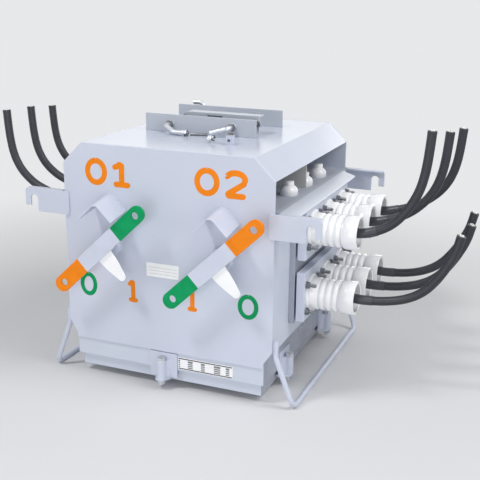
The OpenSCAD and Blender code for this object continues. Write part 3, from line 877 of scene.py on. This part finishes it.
class LOADSWITCH_OT_bay(bpy.types.Operator):
    """Stands the small insulators under the eaves"""
    bl_idname = "load_switch.bay"
    bl_label = "Bay insulators"

    def execute(self, context):
        shape = turned(
            "bay_insulator",
            [(0, 0), (0, 22.4), (1, 23), (16, 23), (25, 14), (25, 12.5), (34.5, 12.5), (36, 11),
             (36, 0)],
            "Porcelain Glaze", 50, rounds=[((16, 23), 5.0, 5), ((25, 14), 4.0, 4)], steps=48)
        spots = [at(x, y + BAY_SHIFT, LID_TOP)
                 for x in (-BAY_X, BAY_X) for y in BUSHING_Y.values()]
        parts = spread_out(shape, spots)
        settle(joined("bay_insulator_set", parts), "porcelain", "bay_insulators")
        return {"FINISHED"}


# ---- front gear ----

HOOD_RIDGE = SHAFT_Z + 127
# The top edge of a hood as (x, z) from its ridge.
HOOD_LINE = ((-44.5, -38.4), (-11.3, -4.7), (-6, -1.3), (0, 0), (6, -1.3), (11.3, -4.7),
             (44.5, -38.4))
# Half of the grey stretch in the middle of a lever, in metres.
GREY_HALF = 0.065
FORWARD, BACKWARD, RIGHTWARD = (0, -1, 0), (0, 1, 0), (1, 0, 0)


class LOADSWITCH_OT_hoods(bpy.types.Operator):
    """Finishes the two bent hoods and the welds that hold them"""
    bl_idname = "load_switch.hoods"
    bl_label = "Hoods"

    def execute(self, context):
        weld = sizes().weld
        for side, x in LEVERS.items():
            finished("hood_" + side, side + "_hood", edge=sizes().sheet_edge * 0.8, angle=20)
            points = [at(x + dx, -1.2, HOOD_RIDGE + dz + 0.6) for dx, dz in HOOD_LINE]
            beads = [bead("hood_bead", points[:2], weld), bead("hood_bead", points[-2:], weld),
                     bead("hood_bead", points[1:-1], weld * 0.9)]
            settle(joined(side + "_hood_beads", beads), "paint")
        return {"FINISHED"}


def shaft_ring(x, y, radius, steps):
    """The points of a closed ring about a shaft."""
    turns = [math.tau * k / steps for k in range(steps + 1)]
    return [at(x + radius * math.cos(a), y, SHAFT_Z + radius * math.sin(a)) for a in turns]


class LOADSWITCH_OT_shafts(bpy.types.Operator):
    """Turns the bearings on the front plate and the shafts that run in them"""
    bl_idname = "load_switch.shafts"
    bl_label = "Shafts and bearings"

    def execute(self, context):
        bearings = []
        for side, x in LEVERS.items():
            body, hub = side + "_lever", at(x, 0, SHAFT_Z)
            shell = turned(
                "bearing",
                [(0, 10.05), (0, 29), (16, 29), (16, 18), (29, 18), (30, 17), (31, 18), (34, 18),
                 (34, 10.05)],
                "Case Paint", 35, steps=64, loop=True,
                rounds=[((16, 29), 2.0, 3), ((34, 18), 1.5, 3), ((34, 10.05), 0.8, 2)])
            bearings.append(set_down(shell, hub, FORWARD))
            ring = shaft_ring(x, -1.0, 29.5, 40)
            bearings.append(bead("bearing_bead", ring, sizes().weld * 0.9))
            shaft = turned(
                side + "_shaft",
                [(1, 0), (1, 10), (36, 10), (37, 9.2), (38, 9.2), (39, 10), (53, 10), (53, 0)],
                "Zinc", 35, rounds=[((1, 10), 1.0, 2)], steps=64)
            settle(set_down(shaft, hub, FORWARD), "zinc", "shaft_" + side, body=body)
            collar = shaft_ring(x, -52.2, 10.6, 20)
            weld = bead(side + "_shaft_bead", collar, sizes().weld * 0.7)
            settle(weld, "pointer_paint", body=body)
        settle(joined("shaft_bearing_pair", bearings), "paint", "shaft_bearings")
        return {"FINISHED"}


class LOADSWITCH_OT_levers(bpy.types.Operator):
    """Finishes the two hand levers, half green and half orange, and their pointers"""
    bl_idname = "load_switch.levers"
    bl_label = "Levers and pointers"

    def execute(self, context):
        along = Vector((math.cos(LEVER_TURN), 0, math.sin(LEVER_TURN)))
        ends = {"left": ("Off Enamel", "On Enamel"), "right": ("On Enamel", "Off Enamel")}
        for side, x in LEVERS.items():
            lever = node_copy("lever_" + side, side + "_hand_lever")
            body, hub = side + "_lever", at(x, 0, SHAFT_Z)
            for reach in (-GREY_HALF, GREY_HALF):
                edit(lever)
                bpy.ops.mesh.bisect(plane_co=hub + along * reach, plane_no=along)
                stop_editing()
            rounded(lever, sizes().bar_edge, angle=40)
            painted_with(lever, "Lever Grey", *ends[side])
            for face in lever.data.polygons:
                reach = (face.center - hub).dot(along)
                face.material_index = 1 if reach > GREY_HALF else 2 if reach < -GREY_HALF else 0
            settle(lever, "lever_paint", "lever_" + side, body=body)
            finished("pointer_" + side, side + "_way_pointer", "Pointer White",
                     "pointer_paint", body, edge=0.0007, angle=40)
        return {"FINISHED"}


# ---- roof gear ----

# The hook bars' thickness and the radius of their bends, in metres, and then their lines.
HOOK_D, HOOK_BEND = 0.0135, 0.014
HOOK_LINES = (
    [(-104, 243, 580.75), (-104, 214, 580.75), (-74, 198, 567.75), (-42, 196, 567.75)],
    [(72, 243, 583.75), (72, 218, 583.75), (27, 203, 570.75)],
    [(-107, 443.5, 580), (-107, 462.5, 580), (-109, 462.5, 611), (-139, 462.5, 611)])
# The big collar where a hook bar meets its rail: a bolt with the bar's own diameter.
COLLAR = {"d": HOOK_D, "end": -0.002, "flat": 1.6, "across": 1.35}
# The latch tube's place, and the top and the left side of its drilled block.
LATCH_Y, LATCH_Z, LATCH_TOP, BLOCK_LEFT = 132, 572, 582, 104


def rail_bolt(spot, axis, d=0.009, end=0.004, flat=2.2, across=1.65):
    """A nut on its washer with a short threaded end."""
    bolt = nut_and_end("rail_bolt", d, d + end, flat, across, "Zinc", "Bolt Steel")
    return set_down(bolt, at(*spot), axis)


class LOADSWITCH_OT_roof_gear(bpy.types.Operator):
    """Finishes the roof rails, the bent hook bolts and the latch tube"""
    bl_idname = "load_switch.roof_gear"
    bl_label = "Roof gear"

    def execute(self, context):
        for row in ("front", "middle", "back"):
            finished(row + "_rail", row + "_roof_rail", "Rail Paint")
        bars = []
        for line in HOOK_LINES:
            points = [at(*p) for p in line]
            wires = wire("hook_bar", points, bend_rounds(points, HOOK_BEND))
            bar = thickened(wires, "hook_bar", HOOK_D / 2, 6)
            bars.append(painted_with(rounded(bar, 0.002, 3, 50), "Zinc"))
        settle(joined("hook_bolt_set", bars), "zinc", "hook_bolts")
        nuts = [
            rail_bolt((-42, 196, 567.75), RIGHTWARD),
            rail_bolt((124, 287, 590), FORWARD),
            rail_bolt((-104, 242, 580.75), FORWARD, **COLLAR),
            rail_bolt((72, 242, 583.75), FORWARD, **COLLAR),
            rail_bolt((-104, 246.5, 580.75), BACKWARD),
            rail_bolt((72, 246.5, 583.75), BACKWARD),
            rail_bolt((-107, 444.5, 580), BACKWARD, **COLLAR),
            rail_bolt((-107, 440, 580), FORWARD),
            rail_bolt((113, LATCH_Y, LATCH_TOP), (0, 0, 1), d=0.008, end=0.002, flat=1.9)]
        settle(joined("roof_gear_nuts", nuts), "zinc")
        # A dark steel plate behind the middle rail's slot, so the slot reads dark: painted
        # shade.
        settle(plate("slot_backing", -19, 27, 591, 603, 292.5, 1, "Bolt Steel"), "zinc")
        self.latch()
        return {"FINISHED"}

    def latch(self):
        """The latch: its tube with a ball and a ring, the rest bar and the drilled block."""
        tube = turned("latch_bar", [(0, 0), (0, 5), (45, 5), (45, 0)], "Zinc", 35,
                      rounds=[((0, 5), 1.0, 2)], steps=40)
        set_down(tube, at(61, LATCH_Y, LATCH_Z), RIGHTWARD)
        rest = turned("rest_bar", [(0, 0), (0, 3.5), (45, 3.5), (45, 0)], "Bolt Steel", 35,
                      rounds=[((0, 3.5), 1.5, 3)], steps=24)
        set_down(rest, at(-31, 209, 563.6), (43, 13, 0))
        arc = [math.radians(a) for a in range(20, 161, 20)]
        round_side = [(-8 * math.cos(a), 8 * math.sin(a)) for a in arc]
        ball = turned("latch_ball", [(-8, 0), *round_side, (8, 0)], "Zinc", 60, steps=32)
        set_down(ball, at(58.5, LATCH_Y - 1, LATCH_Z - 1.5), RIGHTWARD)
        ring = washer("latch_ring", 0.0155, 0.0096, 0.004, "Bolt Steel")
        set_down(ring, at(67, LATCH_Y, LATCH_Z), RIGHTWARD)
        block = node_copy("latch_tube", "latch_block")
        edit(block)
        pick(block, "verts", lambda v: v.co.x < at(BLOCK_LEFT, 0, 0).x)
        bpy.ops.mesh.delete(type="VERT")
        stop_editing()
        painted_with(rounded(block, 0.0012, 3, 40), "Case Paint")
        settle(joined("latch", [tube, rest, ball, ring, block]), "tank_paint", "latch_tube")


# ---- hanging and standing ----

# The hook plates' distance from the middle, and the bottom and the top of their welds.
HOOK_PLATE_X, HOOK_WELD = 268, (376, 432)


class LOADSWITCH_OT_hook_plates(bpy.types.Operator):
    """Finishes the four hook plates and welds them to the end plates"""
    bl_idname = "load_switch.hook_plates"
    bl_label = "Hook plates"

    def execute(self, context):
        for end, y in (("front", -2), ("back", CASE_DEPTH + 2)):
            for side, x in (("left", -HOOK_PLATE_X), ("right", HOOK_PLATE_X)):
                finished(f"ear_{end}_{side}", f"{end}_{side}_hook_plate")
                line = [at(x, y, z) for z in HOOK_WELD]
                settle(bead(f"{end}_{side}_hook_bead", line, sizes().weld), "paint")
        return {"FINISHED"}


LEG_ENDS = (11.5, 578.5)
# One side's (x, z) from the bar's top end down to the floor; the bar runs back the same way.
LEG_FALL = ((286.5, 120), (286.5, 79), (334, -45.5))
# The bar's own radius and that of its bends, in metres.
LEG_RADIUS, LEG_BEND = 0.0065, 0.0225
# Where a leg's welds lie against the tank's side, to each side of the bar.
LEG_WELD_X, LEG_WELD_OFF, LEG_WELD_Z = 281.6, 4.6, (94, 119)


class LOADSWITCH_OT_legs(bpy.types.Operator):
    """Bends the two leg bars and welds them to the tank's sides"""
    bl_idname = "load_switch.legs"
    bl_label = "Legs"

    def execute(self, context):
        bars, beads = [], []
        for side in (-1, 1):
            points = [at(side * x, y, z) for y, fall in zip(LEG_ENDS, (LEG_FALL, LEG_FALL[::-1]))
                      for x, z in fall]
            wires = wire("leg_bar", points, bend_rounds(points, LEG_BEND, 10))
            bar = thickened(wires, "leg_bar", LEG_RADIUS, 7)
            bars.append(painted_with(rounded(bar, 0.0015, 2, 50), "Case Paint"))
            for y in LEG_ENDS:
                for off in (-LEG_WELD_OFF, LEG_WELD_OFF):
                    line = [at(side * LEG_WELD_X, y + off, z) for z in LEG_WELD_Z]
                    beads.append(bead("leg_bead", line, sizes().weld * 0.9))
        settle(joined("leg_bars", bars), "paint", "legs")
        settle(joined("leg_beads", beads), "paint")
        return {"FINISHED"}


CLAMPS = ((-9, -12), (9, 602), (276, 146), (276, 478), (-276, 146), (-276, 478))
# The height that a clamp's bolt head sits at, and the bolt's grip in metres.
CLAMP_SEAT, CLAMP_GRIP = 26, 0.051


class LOADSWITCH_OT_clamps(bpy.types.Operator):
    """Finishes the pan clamps and puts a bolt through each of them"""
    bl_idname = "load_switch.clamps"
    bl_label = "Pan clamps"

    def execute(self, context):
        finished("pan_clamps", "pan_clamp_set", edge=sizes().sheet_edge * 1.2, angle=40)
        d, thick = sizes().clamp_bolt, 0.0022
        parts = [
            washer("clamp_washer", 0.0215, d, thick, "Zinc"),
            hex_nut("clamp_head", d * 1.5, d * 0.62, "Zinc"),
            stud("clamp_end", d * 0.9, 0.014, "Zinc"),
            hex_nut("clamp_nut", d * 1.5, d * 0.75, "Zinc")]
        set_down(parts[1], (0, 0, thick))
        for part in parts[2:]:
            set_down(part, (0, 0, -CLAMP_GRIP), (0, 0, -1))
        bolts = spread_out(
            joined("clamp_bolt", parts), [at(x, y, CLAMP_SEAT) for x, y in CLAMPS])
        settle(joined("clamp_bolts", bolts), "zinc")
        return {"FINISHED"}


# ---- marks and labels ----

ARC = [math.pi * k / 14 for k in range(29)]
# Each digit's strokes as (across, up) in a box one unit wide and one unit tall.
STROKES = {
    "0": [[(0.5 + 0.5 * math.sin(a), 0.5 + 0.5 * math.cos(a)) for a in ARC]],
    "1": [[(0.0, 0.74), (0.3, 0.84), (0.52, 1.0)], [(0.52, 1.0), (0.52, 0.0)],
          [(0.04, 0.0), (1.0, 0.0)]],
    "2": [[(0.03, 0.72)]
          + [(0.5 - 0.46 * math.cos(a), 0.72 + 0.28 * math.sin(a)) for a in ARC[1:15]]
          + [(0.9, 0.55), (0.0, 0.0)], [(0.0, 0.0), (1.0, 0.0)]],
}
# How thick a stroke of paint stays, as a share of its width.
FLATTENED = 0.04


def stroke(points, wide):
    """One stroke of a brush along the front plate, with round ends."""
    radius = wide / 2
    closed = len(points) == len(ARC)
    if not closed:
        # Three more points near each end let the stroke taper there.
        for _ in range(2):
            end, along = points[0], (points[1] - points[0]).normalized()
            added = [end + along * radius * t for t in (0.12, 0.45, 0.95)]
            points = ([end] + added + points[1:])[::-1]

    def swell(i, last, spot):
        near = min((spot - points[0]).length, (spot - points[-1]).length)
        if closed or near >= radius:
            return 1.0
        return max(math.sqrt(1 - (1 - near / radius) ** 2), 0.3)

    return thickened(wire("stroke", points), "stroke", radius, 3, swell)


def number(name, text, left, right, middle, tall, paint, wide=12):
    """A painted number in its box on the front plate, each digit a few strokes of paint."""
    half = wide / 2
    cell = (right - left + half) / len(text) - half
    across, up, low = cell - wide, tall - wide, middle - tall / 2 + half
    strokes = []
    for i, digit in enumerate(text):
        x0 = left + i * (cell + half) + half
        for line in STROKES[digit]:
            points = [at(x0 + u * across, 0, low + v * up) for u, v in line]
            strokes.append(stroke(points, wide * 0.001))
    obj = only(joined(name, strokes))
    obj.scale.y = FLATTENED
    obj.location.y = ZERO.y * (1 - FLATTENED)
    bpy.ops.object.transform_apply()
    return painted_with(obj, paint)


class LOADSWITCH_OT_marks(bpy.types.Operator):
    """Paints the way numbers and the on and off numbers on the front plate"""
    bl_idname = "load_switch.marks"
    bl_label = "Painted numbers"

    def execute(self, context):
        tall, small = sizes().way_digits * 1000, sizes().state_digits * 1000
        on = [number("way_one", "01", -218, -85, 491.5, tall, "On Enamel", 15),
              number("way_two", "02", 78, 216, 493.5, tall, "On Enamel", 15),
              number("left_on", "1", -111, -72, 198, small, "On Enamel"),
              number("right_on", "1", 52, 91, 198, small, "On Enamel")]
        off = [number("left_off", "0", -244, -194, 197, small, "Off Enamel"),
               number("right_off", "0", 191, 245, 200, small, "Off Enamel")]
        settle(joined("on_numbers", on), "lever_paint")
        settle(joined("off_numbers", off), "lever_paint")
        return {"FINISHED"}


def plate(name, left, right, low, high, y, thick, paint, edge=0.0002):
    """A thin plate with rounded corners, its back at y and its face to the front."""
    nothing_selected()
    bpy.ops.mesh.primitive_cube_add(
        size=1, location=at((left + right) / 2, y - thick / 2, (low + high) / 2))
    obj = new_piece(name)
    obj.scale = ((right - left) * 0.001, thick * 0.001, (high - low) * 0.001)
    bpy.ops.object.transform_apply()
    edit(obj)
    pick(obj, "edges", lambda e: abs(e.verts[0].co.y - e.verts[1].co.y) > thick * 0.0005)
    bpy.ops.mesh.bevel(offset=min(0.0015, (high - low) * 0.0004), segments=3, affect="EDGES")
    stop_editing()
    return painted_with(rounded(obj, edge, 1), paint)


class LOADSWITCH_OT_labels(bpy.types.Operator):
    """Fixes the blank label plate between the levers and the rating plate on the band"""
    bl_idname = "load_switch.labels"
    bl_label = "Label plates"

    def execute(self, context):
        ink_edge = 0.00003
        parts = [plate("label_base", -52, 36, 242, 277, 0, 0.6, "Pointer White")]
        for z in (250, 258, 266):
            parts.append(
                plate("label_rule", -46, 30, z, z + 0.5, -0.6, 0.08, "Label Grey", ink_edge))
        settle(joined("blank_label", parts), "pointer_paint")
        band, face = 4.6, 4.6 - 0.8
        parts = [plate("rating_base", 30, 179, 4.5, 37, band, 0.8, "Pointer White")]
        for low, high in ((6, 8.6), (32.6, 35.2)):
            parts.append(
                plate("rating_line", 31.5, 177.5, low, high, face, 0.1, "Label Black", ink_edge))
        for left, right in ((31.5, 36), (57, 71), (93, 104), (128, 146), (160, 170)):
            for low, high in ((10.2, 13.6), (15.2, 18.6), (20.2, 23.6), (25.2, 30.6)):
                parts.append(
                    plate("rating_cell", left, right, low, high, face, 0.1, "Label Grey",
                          ink_edge))
        settle(joined("rating_label", parts), "pointer_paint")
        return {"FINISHED"}


# ---- stage ----

BACKDROP = (0.80, 0.81, 0.825, 1)
SKY = 0.25
MIDDLE = (0, 0, 0.3)
# Name, place, aim, size and power of each lamp.
LAMPS = (
    ("key_lamp", (-1.1, -1.7, 3.1), MIDDLE, 0.6, 43),
    ("front_lamp", (-2.4, -1.9, 0.8), MIDDLE, 0.6, 6),
    ("side_lamp", (2.8, -1.5, 1.2), MIDDLE, 2.0, 18),
    ("low_lamp", (0.2, -1.9, 0.25), (0, 0, 0.1), 1.4, 11.5),
    ("right_lamp", (2.0, -0.3, 2.6), MIDDLE, 1.4, 42),
    ("back_lamp", (-1.2, 2.8, 1.8), MIDDLE, 2.4, 8),
    ("rear_lamp", (0.5, 2.6, 0.45), MIDDLE, 1.6, 14),
    ("left_lamp", (-2.7, 0.6, 0.5), MIDDLE, 1.6, 12),
)


def area_light(name, spot, aim, size, power):
    """A round soft lamp at the spot, turned to its aim and not seen itself."""
    nothing_selected()
    direction = Vector(aim) - Vector(spot)
    bpy.ops.object.light_add(
        type="AREA", location=spot, rotation=direction.to_track_quat("-Z", "Y").to_euler())
    lamp = bpy.context.active_object
    lamp.name = name
    lamp.data.shape, lamp.data.size, lamp.data.energy = "DISK", size, power
    lamp.visible_camera = False


def mixed(tree, factor, first, second):
    """The output of two shaders mixed by the factor."""
    return add_node(tree, "MixShader", i0=factor, i1=first, i2=second).outputs[0]


class LOADSWITCH_OT_stage(bpy.types.Operator):
    """Lays the pale floor and sets the soft lamps and the plain backdrop"""
    bl_idname = "load_switch.stage"
    bl_label = "Stage"

    def execute(self, context):
        nothing_selected()
        bpy.ops.mesh.primitive_circle_add(vertices=96, radius=14, fill_type="NGON")
        floor = context.active_object
        floor.name = "floor"
        floor.data.materials.append(self.floor_finish())
        for lamp in LAMPS:
            area_light(*lamp)
        self.backdrop(context.scene)
        context.scene.view_settings.view_transform = "Standard"
        return {"FINISHED"}

    def floor_finish(self):
        """Matt paint that fades into the backdrop's own tone further out."""
        material, tree, shader, place = start_material("Floor", 0.75, specular=0.1)
        lay_tone(tree, shader, place, colours().floor, 0.6, 0.015)
        far = add_node(tree, "VectorMath", {"operation": "LENGTH"}, i0=place)
        fade = add_node(tree, "MapRange", SOFT, i0=far.outputs["Value"], i1=0.75, i2=2.2)
        paper = add_node(tree, "Emission", Color=BACKDROP, Strength=1.0)
        paint = shader.outputs[0]
        blend = mixed(tree, fade.outputs[0], paint, paper.outputs[0])
        seen = mixed(tree, add_node(tree, "LightPath").outputs["Is Camera Ray"], paint, blend)
        tree.links.new(seen, tree.nodes["Material Output"].inputs["Surface"])
        return material

    def backdrop(self, scene):
        """A pale tone for what is seen or mirrored, and a weaker soft light from all round."""
        world = scene.world = bpy.data.worlds.new("Studio")
        world.use_nodes = True
        tree = world.node_tree
        light = tree.nodes["Background"]
        light.inputs["Color"].default_value = (1, 1, 1, 1)
        light.inputs["Strength"].default_value = SKY
        paper = add_node(tree, "Background", Color=BACKDROP, Strength=1.0)
        rays = add_node(tree, "LightPath").outputs
        mirror = worked_out(tree, "MAXIMUM", rays["Is Glossy Ray"], rays["Is Transmission Ray"])
        either = worked_out(tree, "MAXIMUM", rays["Is Camera Ray"], mirror)
        mix = mixed(tree, either, light.outputs[0], paper.outputs[0])
        tree.links.new(mix, tree.nodes["World Output"].inputs["Surface"])


# ---- add-on ----

MAKERS = (
    LOADSWITCH_OT_camera, LOADSWITCH_OT_leads, LOADSWITCH_OT_case, LOADSWITCH_OT_bushings,
    LOADSWITCH_OT_bushing_bolts, LOADSWITCH_OT_bay, LOADSWITCH_OT_hoods, LOADSWITCH_OT_shafts,
    LOADSWITCH_OT_levers, LOADSWITCH_OT_roof_gear, LOADSWITCH_OT_hook_plates,
    LOADSWITCH_OT_legs, LOADSWITCH_OT_clamps, LOADSWITCH_OT_marks, LOADSWITCH_OT_labels,
    LOADSWITCH_OT_stage)


class LOADSWITCH_PT_panel(bpy.types.Panel):
    """Lists the steps that build the switch, with its colours and sizes"""
    bl_idname = "LOADSWITCH_PT_panel"
    bl_label = "Load Switch"
    bl_space_type = "VIEW_3D"
    bl_region_type = "UI"
    bl_category = "Load Switch"

    def draw(self, context):
        for maker in MAKERS:
            self.layout.operator(maker.bl_idname)
        for group in (context.scene.switch_colours, context.scene.switch_sizes):
            box = self.layout.box()
            for key in group.__annotations__:
                box.prop(group, key)


CLASSES = (SwitchColours, SwitchSizes, *MAKERS, LOADSWITCH_PT_panel)


def register():
    for item in CLASSES:
        bpy.utils.register_class(item)
    bpy.types.Scene.switch_colours = PointerProperty(type=SwitchColours)
    bpy.types.Scene.switch_sizes = PointerProperty(type=SwitchSizes)


def unregister():
    del bpy.types.Scene.switch_colours
    del bpy.types.Scene.switch_sizes
    for item in reversed(CLASSES):
        bpy.utils.unregister_class(item)


def main():
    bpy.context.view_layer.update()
    register()
    for maker in MAKERS:
        getattr(bpy.ops.load_switch, maker.bl_idname.split(".")[1])()


if __name__ == "__main__":
    main()
